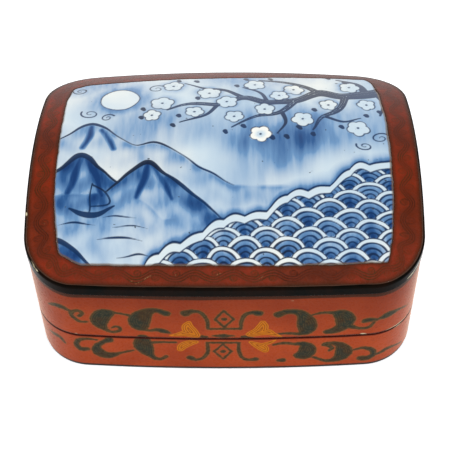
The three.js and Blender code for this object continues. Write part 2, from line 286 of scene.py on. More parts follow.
def addNode(tree, kind, inputs, out=0, **settings):
    # adds a node, with links, numbers or hex colours at its inputs, and returns one of its outputs
    node = tree.nodes.new(kind)
    for key, value in settings.items():
        setattr(node, key, value)
    for key, value in inputs.items():
        socket = node.inputs[key]
        if isinstance(value, bpy.types.NodeSocket):
            tree.links.new(value, socket)
        else:
            socket.default_value = colour(value) if isinstance(value, str) else value
    return node.outputs[out] if len(node.outputs) else node


def startMaterial(name, mottles, marks=()):
    # a bare material with its mottles, each of a size in mm with further noise inputs and at times a
    # stretch along X, Y and Z, and with the marks painted on the piece's points
    material = bpy.data.materials.new(name)
    material.use_nodes = True
    tree = material.node_tree
    tree.nodes.clear()
    places = addNode(tree, "ShaderNodeTexCoord", {}, out="Object")
    noises = []
    for size, inputs, *stretch in mottles:
        at = addNode(tree, "ShaderNodeMapping", {"Vector": places, "Scale": stretch}) if stretch else places
        noises.append(addNode(tree, "ShaderNodeTexNoise", {"Vector": at, "Scale": 1000 / size, **inputs}))
    painted = [addNode(tree, "ShaderNodeAttribute", {}, out="Fac", attribute_name=mark) for mark in marks]
    return material, tree, noises, painted


def layColours(tree, shade, *coats):
    # lays coats over a shade: each has a mask, or a value with the two ends between which the coat
    # comes in and at times its strength, and last its colour
    for mask, *ends, over in coats:
        if ends:
            mask = addNode(tree, "ShaderNodeMapRange", dict(zip((0, 1, 2, 4), (mask, *ends))))
        shade = addNode(tree, "ShaderNodeMix", {0: mask, 6: shade, 7: over}, out=2, data_type="RGBA")
    return shade


mottleRange = {1: 0.3, 2: 0.7}  # where nearly all of a mottle's values lie


def vary(tree, value, mottle, low, high, operation="ADD"):
    # a value made uneven by a mottle, which is added to it or multiplies it
    swing = addNode(tree, "ShaderNodeMapRange", {0: mottle, **mottleRange, 3: low, 4: high})
    return addNode(tree, "ShaderNodeMath", {0: value, 1: swing}, operation=operation)


def waves(tree, distance, length, operation):
    # even lines, so many mm apart, that follow a painted mark
    turns = addNode(tree, "ShaderNodeMath", {0: distance, 1: 2 * math.pi / length}, operation="MULTIPLY")
    return addNode(tree, "ShaderNodeMath", {0: turns}, operation=operation)


def endMaterial(tree, shade, height, strength, depth, roughness, surface):
    # joins the shade, a relief of so many mm, a roughness that may vary with a mottle, and the rest
    if isinstance(roughness, tuple):
        mottle, low, high = roughness
        roughness = addNode(tree, "ShaderNodeMapRange", {0: mottle, **mottleRange, 3: low, 4: high})
    bump = addNode(tree, "ShaderNodeBump", {"Strength": strength, "Distance": depth * mm, "Height": height})
    shader = addNode(tree, "ShaderNodeBsdfPrincipled", {
        "Base Color": shade, "Roughness": roughness, "IOR": 1.5, "Normal": bump, **surface})
    addNode(tree, "ShaderNodeOutputMaterial", {"Surface": shader})


def redLacquerMaterial():
    # vermilion lacquer, brushed and rubbed: deep even red, soft gloss, hand-painted ornament in
    # brown-green lacquer with fine ochre outlines, and flowers in ochre. The hatching is drawn coarser
    # than a brush draws it, so that it shows.
    look = {
        "patchMm": 28, "speckMm": 1.6, "blotMm": 6, "hatchMm": 0.95, "petalMm": 0.9, "outlineMm": 0.4,
        "reliefMm": 0.2}
    material, tree, (patches, specks, blots), (ink, gilt, wear, edge, stripe) = startMaterial(
        "vermilionLacquerPainted",
        [(look["patchMm"], {"Detail": 3.0, "Roughness": 0.6}), (look["speckMm"], {}), (look["blotMm"], {})],
        ["ink", "gilt", "wear", "edge", "stripe"])
    # the red darkens over about 26 mm towards the black band, and a dark strip lies just under it: painted
    # shade under the band, the strip partly a painted line
    red = layColours(
        tree, "#9E3A14", (patches, 0.35, 0.65, "#B4481C"), (specks, 0.6, 0.8, 0.5, "#7E2A12"),
        (stripe, 26.0, 0.0, 0.54, "#621C0C"))
    heart = layColours(tree, "#132A20", (blots, 0.44, 0.62, "#302814"))
    hatching = waves(tree, ink, look["hatchMm"], "SINE")
    hatching = addNode(tree, "ShaderNodeMath", {
        0: addNode(tree, "ShaderNodeMapRange", {0: hatching, 1: 0.35, 2: 0.95, 4: 0.3}),
        1: addNode(tree, "ShaderNodeMapRange", {0: specks, 1: 0.38, 2: 0.55})}, operation="MULTIPLY")
    fill = layColours(tree, "#48391A", (ink, 0.0, -1.3, heart), (hatching, "#7A6232"))
    brushed = vary(tree, ink, specks, -0.2, 0.2)
    painted = addNode(tree, "ShaderNodeMapRange", {
        0: brushed, 1: 0.42, 2: -0.36, 4: 0.97}, interpolation_type="SMOOTHSTEP")
    fromOutline = addNode(tree, "ShaderNodeMath", {0: brushed, 1: 0.16}, operation="SUBTRACT")
    fromOutline = addNode(tree, "ShaderNodeMath", {0: fromOutline}, operation="ABSOLUTE")
    petals = layColours(tree, "#C8740A", (waves(tree, gilt, look["petalMm"], "SINE"), 0.1, 0.9, "#8E4204"))
    # edge darkens the red along the seam and the foot: partly painted shade there, partly worn edges
    shade = layColours(
        tree, red, (painted, fill), (fromOutline, look["outlineMm"], 0.0, 0.25, "#94683A"),
        (gilt, 0.15, -0.15, petals), (stripe, 0.35, -0.25, 0.88, "#2E1A0C"),
        (edge, 1.25, 0.6, 0.97, "#3C0C06"), (wear, 0.12, -0.12, "#D8C8A4"))
    height = addNode(tree, "ShaderNodeMix", {0: 0.35, 2: patches, 3: painted})
    endMaterial(tree, shade, height, 0.25, look["reliefMm"], (specks, 0.24, 0.34), {
        "Specular IOR Level": 0.05, "Sheen Weight": 0.9, "Sheen Roughness": 0.28, "Sheen Tint": "#FFD8BC"})
    return material


def rimLacquerMaterial():
    # the same lacquer under a brown glaze: darker red-brown, with a running wave of thin brown lines
    # and curls, softly brushed and half rubbed away
    look = {"patchMm": 9, "speckMm": 1.4286, "fieldMm": 34, "lineMm": 0.95, "reliefMm": 0.3}
    material, tree, (patches, specks, fields), (swell, bay, wear, edge) = startMaterial(
        "brownRedLacquerRim",
        [(look["patchMm"], {"Detail": 4.0, "Roughness": 0.65}), (look["speckMm"], {}),
         (look["fieldMm"], {})],
        ["swell", "bay", "wear", "edge"])
    swell = vary(tree, swell, patches, -0.35, 0.35)
    fromSwell = addNode(tree, "ShaderNodeMath", {0: swell}, operation="ABSOLUTE")
    lines = addNode(tree, "ShaderNodeMapRange", {0: waves(tree, swell, look["lineMm"], "COSINE"), 1: -0.6})
    inSwell = addNode(tree, "ShaderNodeMapRange", {0: fromSwell, 1: 1.5, 2: 1.3})
    curls = addNode(tree, "ShaderNodeMapRange", {0: bay, 1: 0.15, 2: -0.35})
    kept = addNode(tree, "ShaderNodeMapRange", {0: patches, 1: 0.4, 2: 0.6, 3: 0.3, 4: 0.85})
    drawn = addNode(tree, "ShaderNodeMath", {0: lines, 1: inSwell}, operation="MULTIPLY")
    drawn = addNode(tree, "ShaderNodeMath", {0: drawn, 1: curls}, operation="MAXIMUM")
    drawn = addNode(tree, "ShaderNodeMath", {0: drawn, 1: kept}, operation="MULTIPLY")
    brown = layColours(tree, "#38180C", (fields, 0.4, 0.6, "#3C2A0E"))
    shade = layColours(
        tree, "#66240E", (patches, 0.35, 0.65, "#7A2A10"), (fields, 0.42, 0.6, 0.6, "#8E2A0E"),
        (fromSwell, 3.4, 0.8, 0.42, "#4A2010"), (drawn, brown), (edge, 1.7, 0.0, 0.8, "#38200F"),
        (wear, 0.08, -0.1, 0.75, "#B4905E"))
    height = addNode(tree, "ShaderNodeMix", {0: 0.3, 2: patches, 3: drawn})
    endMaterial(tree, shade, height, 0.3, look["reliefMm"], (specks, 0.22, 0.34), {
        "Specular IOR Level": 0.17, "Sheen Weight": 0.6, "Sheen Roughness": 0.25, "Sheen Tint": "#FFE4DC"})
    return material


def blackLacquerMaterial(name, dark, warm, roughness, level, sheen):
    # black lacquer over cloth and ground: near black with a red or green cast where it has thinned,
    # glossy on the band and duller inside, browned where the rim's lacquer laps over it, and pale along
    # its edges: worn to the pale ground, and on the band's corners partly a painted highlight
    look = {"patchMm": 16.667, "speckMm": 2.381, "reliefMm": 0.3}
    material, tree, (patches, specks), (wear, lap) = startMaterial(
        name, [(look["patchMm"], {"Detail": 4.0, "Roughness": 0.7}), (look["speckMm"], {})], ["wear", "lap"])
    thin = vary(tree, wear, specks, -0.2, 0.2)
    shade = layColours(
        tree, dark, (patches, 0.4, 0.66, warm), (lap, -0.08, 0.08, "#50362A"), (thin, 0.45, 0.7, "#CFC2A0"))
    endMaterial(tree, shade, patches, 0.25, look["reliefMm"], (specks, roughness, roughness + 0.12), {
        "Specular IOR Level": level, "Sheen Weight": sheen, "Sheen Roughness": 0.25})
    return material


def porcelainMaterial():
    # blue-white glazed porcelain: cold white glaze with cobalt under it, in washes and brush lines,
    # glassy gloss, iron specks and a brown stain at the broken edge
    look = {"cloudMm": 45.455, "streakMm": 3.8462, "speckMm": 2.381, "reliefMm": 0.3}
    material, tree, (clouds, streaks, specks), (line, wash, edge) = startMaterial(
        "glazedPorcelainCobalt",
        [(look["cloudMm"], {"Detail": 3.0}), (look["streakMm"], {"Detail": 3.0}, 1.0, 0.12, 1.0),
         (look["speckMm"], {"Detail": 1.0})],
        ["line", "wash", "edge"])
    tone = vary(tree, wash, streaks, 0.66, 1.3, "MULTIPLY")
    drawn = addNode(tree, "ShaderNodeMapRange", {0: line, 1: 0.16, 2: -0.18, 4: 0.96})
    cobalt = layColours(tree, "#123058", (clouds, 0.4, 0.6, "#1A243A"))
    fromEdge = vary(tree, edge, clouds, -0.5, 0.5)
    shade = layColours(
        tree, "#CCDDE6", (clouds, 0.38, 0.62, "#F0F2EA"), (wash, -0.02, -0.3, "#F8F7EE"),
        (tone, 0.0, 0.4, "#739BC3"), (tone, 0.35, 0.75, "#335F93"), (tone, 0.7, 1.1, "#183C70"),
        (drawn, cobalt), (specks, 0.76, 0.8, 0.8, "#3A4048"), (fromEdge, 0.75, 0.1, 0.85, "#6E5640"))
    endMaterial(tree, shade, streaks, 0.12, look["reliefMm"], 0.12, {})
    return material


def planedWoodMaterial(name, *stretch):
    # fir boards planed by hand: straight pale-brown grain along each board, matt
    look = {"grainMm": 2.0, "reliefMm": 0.2}
    material, tree, (grain,), _ = startMaterial(
        name, [(look["grainMm"], {"Detail": 4.0, "Distortion": 0.4}, *stretch)])
    shade = layColours(tree, "#9A7546", (grain, 0.35, 0.65, "#C29A66"))
    endMaterial(tree, shade, grain, 0.3, look["reliefMm"], (grain, 0.62, 0.8), {})
    return material


def lacquerGroundMaterial():
    # ground of clay and raw lacquer, rubbed with a stone: grey-brown, gritty and matt
    look = {"gritMm": 0.8333, "reliefMm": 0.2}
    material, tree, (grit,), _ = startMaterial("clayLacquerGround", [(look["gritMm"], {"Detail": 4.0})])
    shade = layColours(tree, "#3C342C", (grit, 0.35, 0.65, "#5E5448"))
    endMaterial(tree, shade, grit, 0.4, look["reliefMm"], 0.9, {})
    return material


redLacquer = redLacquerMaterial()
rimLacquer = rimLacquerMaterial()
bandLacquer = blackLacquerMaterial("glossyBlackLacquer", "#060806", "#180C06", 0.14, 0.02, 0.6)
insideLacquer = blackLacquerMaterial("dullBlackLacquer", "#131210", "#2A1912", 0.34, 0.3, 0.0)
porcelain = porcelainMaterial()
boardWood = planedWoodMaterial("planedFirAlongBoard", 0.08, 1.0, 1.0)
endWood = planedWoodMaterial("planedFirAcrossBoard", 1.0, 0.08, 1.0)
lacquerGround = lacquerGroundMaterial()
print("materials made")

# Camera fitted to the photograph: 450 x 450, distances in mm, angles in degrees
photoView = {
    "target": (0.12, -24.03, 49.87),
    "distance": 471.78,
    "elevation": 49.69,
    "turn": 1.43,
    "roll": -1.31,
    "lens": 91.39,
    "sensor": 36.0,
}


def makeCamera():
    turned = Matrix.Rotation(math.radians(photoView["turn"]), 4, "Z")
    tilted = Matrix.Rotation(math.radians(90 - photoView["elevation"]), 4, "X")
    rolled = Matrix.Rotation(math.radians(photoView["roll"]), 4, "Z")
    facing = turned @ tilted
    data = bpy.data.cameras.new("photoCamera")
    data.lens = photoView["lens"]
    data.sensor_width = photoView["sensor"]
    data.clip_start = 0.01
    camera = bpy.data.objects.new("photoCamera", data)
    back = facing @ Vector((0, 0, photoView["distance"] * mm))
    place = Vector(photoView["target"]) * mm + back
    camera.matrix_world = Matrix.Translation(place) @ facing @ rolled
    bpy.context.scene.collection.objects.link(camera)
    bpy.context.scene.camera = camera


# Soft studio: pale world, one wide soft key from above, a little in front and to the right, and a
# white floor. Gloss shows a white surrounding that darkens overhead.
studio = {
    "worldStrength": 0.78,
    "worldColour": "#F4F6FA",
    "keyStrength": 1.2,
    "keyTilt": (12, 4, 0),
    "keySoftness": 50,
    "horizon": 0.25,
    "overhead": 0.8,
    "ceilingStrength": 0.05,
    "floorSize": 3.0,
    "floorColour": "#FAFAFA",
    "floorGap": 0.1,
    "floorGlow": 0.4,
    "glossGlow": 0.05,
    "fibreMm": 1.1111,
}


def seenRays(tree):
    # rays that show the background straight to the camera or through glass, and those by way of gloss
    rays = addNode(tree, "ShaderNodeLightPath", {}).node.outputs
    direct = addNode(tree, "ShaderNodeMath", {
        0: rays["Is Camera Ray"], 1: rays["Is Transmission Ray"]}, operation="MAXIMUM")
    return direct, rays["Is Glossy Ray"]


def makeWorld(scene):
    world = bpy.data.worlds.new("studioWorld")
    scene.world = world
    world.use_nodes = True
    tree = world.node_tree
    tree.nodes.clear()
    direct, glossy = seenRays(tree)
    seen = addNode(tree, "ShaderNodeMath", {0: direct, 1: glossy}, operation="MAXIMUM")
    light = addNode(tree, "ShaderNodeBackground", {
        "Color": studio["worldColour"], "Strength": studio["worldStrength"]})
    facing = addNode(tree, "ShaderNodeTexCoord", {}, out="Generated")
    ceiling = addNode(tree, "ShaderNodeMapRange", {
        0: addNode(tree, "ShaderNodeSeparateXYZ", {0: facing}, out="Z"),
        1: studio["horizon"], 2: studio["overhead"], 3: 1.0, 4: studio["ceilingStrength"]})
    backdrop = addNode(tree, "ShaderNodeBackground", {
        "Color": "#FFFFFF", "Strength": addNode(tree, "ShaderNodeMix", {0: glossy, 2: 1.0, 3: ceiling})})
    both = addNode(tree, "ShaderNodeMixShader", {0: seen, 1: light, 2: backdrop})
    addNode(tree, "ShaderNodeOutputWorld", {"Surface": both})


def makeKey(scene):
    key = bpy.data.lights.new("softKey", "SUN")
    key.energy = studio["keyStrength"]
    key.angle = math.radians(studio["keySoftness"])
    lamp = bpy.data.objects.new("softKey", key)
    lamp.rotation_euler = [math.radians(a) for a in studio["keyTilt"]]
    lamp.visible_glossy = False
    scene.collection.objects.link(lamp)


def makeFloor(scene):
    # white seamless paper: matt, takes the box's shadow
    material, tree, (fibre,), _ = startMaterial("paperFloor", [(studio["fibreMm"], {})])
    paper = addNode(tree, "ShaderNodeBsdfDiffuse", {
        "Color": layColours(tree, studio["floorColour"], (fibre, "#FFFFFF"))})
    direct, glossy = seenRays(tree)
    inGloss = addNode(tree, "ShaderNodeMath", {0: glossy, 1: studio["glossGlow"]}, operation="MULTIPLY")
    strength = addNode(tree, "ShaderNodeMath", {
        0: direct, 1: studio["floorGlow"], 2: inGloss}, operation="MULTIPLY_ADD")
    glow = addNode(tree, "ShaderNodeEmission", {"Strength": strength})
    surface = addNode(tree, "ShaderNodeAddShader", {0: paper, 1: glow})
    addNode(tree, "ShaderNodeOutputMaterial", {"Surface": surface})
    bm = bmesh.new()
    bmesh.ops.create_grid(bm, x_segments=1, y_segments=1, size=studio["floorSize"] / 2)
    mesh = bpy.data.meshes.new("floor")
    bm.to_mesh(mesh)
    bm.free()
    mesh.materials.append(material)
    floor = bpy.data.objects.new("floor", mesh)
    scene.collection.objects.link(floor)
    floor.location.z = -studio["floorGap"] * mm


makeCamera()
bpy.context.scene.view_settings.view_transform = "Standard"
makeWorld(bpy.context.scene)
makeKey(bpy.context.scene)
makeFloor(bpy.context.scene)
print("camera and studio made")

# Painted ornament of the walls, in mm: distance from the front's middle, height, half width.
# The brush follows the curls that cross the seam; the two halves were painted by hand and differ.
leftScrolls = [
    [(-23.3, 38.7, 1.9), (-27, 40.5, 1.6), (-31, 39.2, 2.6), (-34, 34.6, 4.6), (-34.5, 31, 4.2),
     (-33.5, 28.6, 2.4)],
    [(-33.8, 27.8, 1.6), (-30.5, 26.6, 0.8), (-27.5, 27.2, 1.3), (-24.5, 26.2, 1.4), (-22.3, 25.2, 0.4)],
    [(-46.3, 37.8, 2.4), (-48.8, 36.4, 3.8), (-50.6, 33, 3.9), (-50.5, 30, 2.9), (-49, 26.8, 1.3)],
    [(-49, 26.6, 1.2), (-46.5, 24.8, 0.9), (-43.4, 25.6, 0.9), (-42.7, 27.6, 0.8), (-44.3, 28.7, 0.8),
     (-46, 27.6, 0.5)],
    [(-46, 38.3, 1), (-43, 38, 0.7), (-40, 37.3, 0.7), (-37, 36.2, 1)],
    [(-61.4, 36.6, 0.8), (-60.2, 38.2, 1), (-58.2, 38.3, 1), (-57.3, 36.6, 1), (-58.6, 34.8, 0.9)],
    [(-62.2, 37.6, 0.8), (-61.4, 34.2, 1), (-58.8, 31.2, 0.9), (-55.6, 31, 0.5)],
    [(-72.5, 36.6, 0.5), (-69, 38.6, 1.2), (-65.5, 39.2, 1.5), (-62.2, 37.8, 0.7)],
    [(-33.8, 20.6, 3), (-34, 16.4, 4.2), (-33, 12.4, 3.4), (-31.4, 9, 1.8), (-29.4, 6.4, 1.2),
     (-26.8, 6.2, 1), (-24.8, 8.2, 1)],
    [(-30.5, 18, 1), (-26.7, 18.5, 0.8), (-20.3, 18.5, 0.6)],
    [(-47.8, 19, 1.9), (-50.8, 17, 1.3), (-53.4, 13.8, 1.8), (-53.2, 10, 2.7), (-50.3, 7.6, 2.5),
     (-46.8, 8.2, 1.6), (-43.6, 9.8, 0.8), (-38.3, 12, 0.6)],
    [(-53.2, 18.5, 0.6), (-57, 18.9, 0.9), (-60.4, 18, 1.1), (-62, 14.6, 1.3), (-60.8, 11.4, 1.5),
     (-57.8, 11.5, 1.4)],
    [(-76, 14.4, 0.6), (-73, 15, 1.2), (-69.8, 15.4, 1.3), (-67.8, 12.8, 0.8)],
    [(-11.4, 22.9, 0.5), (-10, 22.9, 1), (-7.6, 22.7, 0.7)],
]
rightScrolls = [
    [(21.6, 37.9, 2.1), (25, 39.5, 1.7), (29.5, 39, 1.9), (32, 35.5, 3), (33.2, 31.2, 4.1),
     (33.4, 28, 3.9), (32.6, 25, 2.2)],
    [(32, 24.6, 1.4), (29.6, 24, 1), (26, 24.7, 0.9), (21.4, 24.3, 0.6)],
    [(35, 36.9, 0.6), (39, 38.1, 0.8), (43.6, 37.8, 1.2), (47, 36.2, 3.4), (48.7, 32.6, 4.2),
     (47.8, 28.4, 3), (44.8, 25.6, 2.2), (41.5, 24.8, 1.6)],
    [(50, 28.4, 1.8), (53, 26.8, 1.1), (56, 26, 0.9), (58.8, 26.9, 0.9), (60.4, 29.8, 0.8)],
    [(56.4, 31, 1.3), (58.6, 31.7, 1.6), (61.6, 31.5, 0.9)],
    [(62.4, 31.6, 0.7), (65.6, 32.8, 2), (68.4, 33.1, 1.6), (72, 32.8, 0.7), (77.5, 30.4, 0.4)],
    [(20, 16.6, 0.6), (24.3, 17.7, 1), (28, 17, 1), (32.4, 16.4, 2), (34.2, 12.6, 3.8), (33, 9, 3.6),
     (31, 8.4, 2.6)],
    [(22.4, 5, 1.2), (24.2, 5.1, 1.3)],
    [(43.2, 11, 0.7), (44.3, 12.7, 1), (43, 14.6, 1.1), (40.6, 15.4, 0.9)],
    [(41, 16.4, 0.9), (45, 16.4, 1.3), (48.2, 14, 2.5), (49.4, 9.8, 3.8), (48, 6, 2.8), (45, 3.9, 1.5),
     (41.5, 3.8, 1), (37, 6.6, 0.8)],
    [(53.6, 10.8, 0.6), (57.6, 11.9, 1.1), (61.2, 9.8, 1.4), (62, 6.2, 1.5), (59.6, 4.2, 1.8),
     (57, 4.2, 1.8)],
    [(63.6, 5.9, 0.8), (66.2, 6.7, 1.2), (68.6, 7.4, 1.2), (73, 6, 0.7), (78, 3.4, 0.4)],
    [(7, 22.8, 0.7), (9.6, 22.9, 1.1), (11.3, 22.6, 0.5)],
]
hooks = [
    [(-6.8, 28.4, 0.8), (-6.9, 33.8, 0.85), (-9.1, 39, 0.9), (-12.4, 40.4, 1.2), (-15.6, 39, 2.1)],
    [(6.5, 28.4, 0.8), (6.8, 33.8, 0.9), (8.4, 38.2, 1), (11.2, 39.4, 1.3), (13.8, 38.9, 1.9)],
    [(-7.4, 18.6, 0.75), (-7.2, 12.5, 0.85), (-8.8, 8, 0.9), (-12, 5.9, 0.9), (-14.8, 7.4, 1.6)],
    [(5.6, 18.4, 0.75), (5.8, 11.1, 0.85), (7.8, 6.6, 0.9), (10.6, 5.8, 1), (12.8, 6.4, 1.3)],
]
# Generic knot between the hooks: two lozenges, each round a pellet, and a spindle on the seam
knotLines = [
    [(-6.8, 28.4, 0.7), (6.5, 28.4, 0.7)],
    [(-7.4, 18.5, 0.7), (5.7, 18.5, 0.7)],
    [(-0.2, 29.6, 0.6), (-3.9, 35, 0.6), (-0.2, 40.8, 0.6), (3.7, 35, 0.6), (-0.2, 29.6, 0.6)],
    [(-1, 17.4, 0.6), (-4.6, 12.2, 0.6), (-1, 6.6, 0.6), (2.6, 12.2, 0.6), (-1, 17.4, 0.6)],
    [(-0.3, 35.1, 1.2), (-0.1, 35.1, 1.2)],
    [(-1.1, 12.1, 1.2), (-0.9, 12.1, 1.2)],
    [(-5, 23.4, 0.4), (-0.6, 23.4, 1.5), (3.8, 23.4, 0.4)],
]
flowers = [
    [(-14.4, 32.6, 1.1), (-15, 29.6, 2.5), (-13.9, 26.6, 2.9), (-12.2, 24.2, 2.1)],
    [(-22.4, 23.4, 0.4), (-19.2, 24.1, 1.2), (-16, 25, 2), (-12, 24, 2)],
    [(-11.8, 19, 1), (-15, 18, 2), (-17.5, 16, 2.1), (-18.6, 13.6, 1.5)],
    [(15.4, 32.4, 1.4), (15.3, 29.6, 2.5), (14, 26.6, 2.8), (11, 24.8, 2), (9.2, 24.4, 0.8)],
    [(23.2, 22.4, 0.3), (20, 24.2, 1.1), (17.5, 25.8, 2), (14.5, 26, 2.4)],
    [(10.4, 18.8, 0.8), (13, 16.8, 1.8), (15.6, 14.6, 2.3), (16.6, 12.6, 1.5)],
    [(16, 17, 1.2), (18.6, 18.4, 0.9), (20.8, 20, 0.4)],
]
endFlower = [
    [(0, 32, 1.2), (0, 28.4, 2.6), (0, 25, 2.4)],
    [(5.6, 24.6, 0.4), (3, 24.8, 1.2), (0, 24.6, 1.8)],
    [(0, 18.8, 1), (0, 15.6, 2.2), (0, 12.8, 1.2)],
]
# Chips and rubbed places along the seam, in mm: along the outline, height, half width
seamChips = [
    [(55.2, 22.3, 0.1), (56.4, 22.3, 0.36), (58, 22.1, 0.2)],
    [(66, 21.8, 0.06), (69, 21.9, 0.2), (72.5, 22, 0.32), (76, 22, 0.3), (79, 21.9, 0.1)],
    [(-61.8, 22.3, 0.1), (-61, 22.3, 0.22)],
    [(26.2, 46.9, 0.12), (27.4, 46.9, 0.2)],
    [(70, 20.6, 0.05), (73, 20.7, 0.18), (75.5, 20.6, 0.05)],
    [(-160, 22, 0.2), (-157, 22.2, 0.5), (-155, 22, 0.1)],
    [(205, 20.7, 0.1), (208, 20.6, 0.4), (210, 20.7, 0.1)],
]
walls = {
    "seamMark": 21.3,  # height of the seam in the strokes' own measure
    "endShift": 17,  # how far the scrolls move towards the middle on the shorter ends
    "endReach": 63,  # scrolls that reach further out than this are left off the ends
    "flowerGap": 0.3,  # red left between the scrolls and a flower
    "paintDepth": 0.6,
    "roundFoot": 0.3,
    "roundSeam": 0.4,
    "roundInside": 0.2,
    "thickness": 1.0,
    "turnThickness": 0.6,
    "stripeHeight": 1.95,  # height of the dark strip under the band, partly a painted line and partly painted shade under its overhang
    "stripeSway": 0.2,
    # where the darkening along the seam and the foot starts, and its sway: partly painted shade in the seam
    # and at the foot, partly worn edges
    "edgeShadeAndWearStart": 0.25,
    "edgeDarkSway": 0.12,
}


def paintWalls(piece, at):
    # the strokes on the front and back, a choice of them on the ends, and the worn places
    seam = (cadBox("base_lacquer_coat")[1][2] + cadBox("lid_lacquer_coat")[0][2]) / 2
    along, height = at["along"], at["z"] - seam + walls["seamMark"]
    fromBack = np.where(along > 0, along - perimeter / 2, along + perimeter / 2)
    fromEnd = np.abs(np.abs(along) - quarter)
    short = [stroke for stroke in rightScrolls[:-1] if max(s for s, h, r in stroke) < walls["endReach"]]
    shifted = [[(s - walls["endShift"], h, r) for s, h, r in stroke] for stroke in short]
    ink = brushDistance(shifted, fromEnd, height)
    gilt = brushDistance(endFlower, fromEnd, height)
    for place in (along, fromBack):
        ink = np.minimum(ink, brushDistance(leftScrolls + rightScrolls + hooks, place, height))
        ink = np.minimum(ink, brushDistance(knotLines, place, height, smooth=False))
        gilt = np.minimum(gilt, brushDistance(flowers, place, height))
    ink = np.where(gilt < walls["flowerGap"], np.maximum(ink, walls["flowerGap"] - gilt), ink)
    outside = at["inset"] < walls["paintDepth"]
    paint(
        piece, ink=np.where(outside, ink, unpainted), gilt=np.where(outside, gilt, unpainted),
        wear=brushDistance(seamChips, along, height, smooth=False))


def makeBaseCoat():
    low, high = cadBox("base_lacquer_coat")
    wallInset = cadInset("inner_lip") - bond
    under = high[2] - walls["turnThickness"]
    piece, at = makeRing("base_coat", "base", ["base_lacquer_coat"], redLacquer, fineAlong, [
        (0, low[2], walls["roundFoot"], 36),
        (0, high[2], walls["roundSeam"], 3),
        (wallInset, high[2], walls["roundInside"], 1),
        (wallInset, under, 0, 2),
        (walls["thickness"], under, 0, 3),
        (walls["thickness"], low[2], 0, 1),
    ])
    paintWalls(piece, at)
    # edge darkens the red along the seam and the foot: partly painted shade there, partly worn edges
    toEdge = np.minimum(high[2] - at["z"], at["z"] - low[2] + 0.3)
    sway = walls["edgeDarkSway"] * wander(at["along"], 30, 2)
    paint(piece, edge=toEdge + walls["edgeShadeAndWearStart"] + sway, stripe=30.0)


def makeLidCoat():
    low = cadBox("lid_lacquer_coat")[0][2]
    turn = low + walls["turnThickness"]
    liningOuter = cadInset("lid_lining") - bond
    coatTop = topAlong(fineAlong) - band["height"] - bond
    piece, at = makeRing("lid_coat", "lid", ["lid_lacquer_coat"], redLacquer, fineAlong, [
        (0, low, walls["roundSeam"], 56),
        (0, coatTop, walls["roundInside"], 1),
        (walls["thickness"], coatTop, 0, 2),
        (walls["thickness"], turn, 0, 2),
        (liningOuter, turn, 0, 1),
        (liningOuter, low, walls["roundInside"], 3),
    ])
    paintWalls(piece, at)
    # painted shade under the black band: the dark strip just below it, partly a painted line, and the red
    # darkening towards it
    fromBand = topAlong(at["along"]) - band["height"] - bond - at["z"]
    stripe = fromBand - walls["stripeHeight"] * (1 + walls["stripeSway"] * wander(at["along"], 90, 2.2))
    # edge darkens the red along the seam: partly painted shade in the seam, partly worn edge
    sway = walls["edgeDarkSway"] * wander(at["along"], 30, 5)
    paint(piece, edge=at["z"] - low + walls["edgeShadeAndWearStart"] + sway, stripe=stripe)


# Black band along the lid's edge, in mm; heights are straight down from the lid's surface
band = {
    "height": 4.9,
    "innerHeight": 5.2,
    "overhang": 0.35,
    "inset": cadInset("rim_lacquer") - bond,
    "footRound": 0.3,
    "topRound": 0.9,
    "innerRound": 0.15,
    "lapInset": 0.5,
    "lapNearerAtEnds": 0.1,
    "lapSway": 0.12,
    "lapDepth": 0.5,
    "turnDepth": 0.6,
}
# Cream streaks on the black band, partly worn to its ground and partly painted highlight on its corners:
# along the outline, inset, half width
bandWearAndHighlights = [
    [(-100.4, 0.2, 0.1), (-99.6, 0.35, 0.25), (-98.8, 0.35, 0.12)],
    [(-84.5, 0.4, 0.02), (-81, 0.25, 0.06), (-77, 0, 0.08), (-73.6, -0.25, 0.02)],
    [(72.6, -3.6, 0.05), (74.6, -3.4, 0.3), (77, -3.1, 0.3), (79.5, -2.7, 0.36), (82, -2.2, 0.25),
     (85, -1.6, 0.05)],
    [(190, -0.2, 0.1), (194, -0.15, 0.3), (197, -0.2, 0.1)],
    [(-176, -0.2, 0.1), (-172, -0.15, 0.35), (-169, -0.2, 0.1)],
]


def makeBand():
    outer, inner = -band["overhang"], band["inset"]
    innerTop = topAlong(fineAlong, inner)
    piece, at = makeRing("black_band", "lid", ["edge_band"], bandLacquer, fineAlong, [
        (outer, topAlong(fineAlong) - band["height"], band["footRound"], 16),
        (outer, topAlong(fineAlong, outer), band["topRound"], 3),
        (inner, innerTop, band["innerRound"], 3),
        (inner, innerTop - band["innerHeight"], 0, 2),
    ])
    depth = topAlong(at["along"]) - at["z"]
    # cream streaks: partly wear to the ground, partly painted highlight along the band's corners
    worn = brushDistance(bandWearAndHighlights, at["along"], at["inset"] - np.maximum(depth - band["turnDepth"], 0))
    nearer = band["lapNearerAtEnds"] * outlineAt(at["along"])[3] ** 2
    lapStart = band["lapInset"] - nearer + band["lapSway"] * wander(at["along"], 37, 5)
    lap = np.where(depth < band["lapDepth"], at["inset"] - lapStart, -1.0)
    paint(piece, wear=0.58 - 1.2 * worn, lap=lap)


# The broken edge of the porcelain: the CAD piece's own outline, softened and made uneven
shard = {
    "columns": 330,
    "rows": 262,
    "coarse": 5,  # the underside has so many times fewer columns and rows
    "softenOver": 13,  # stations over which the outline is smoothed
    "thickness": 4.0,
    "chipSize": 0.22,
    "edgeRound": 0.5,
    "underInset": 0.9,
}


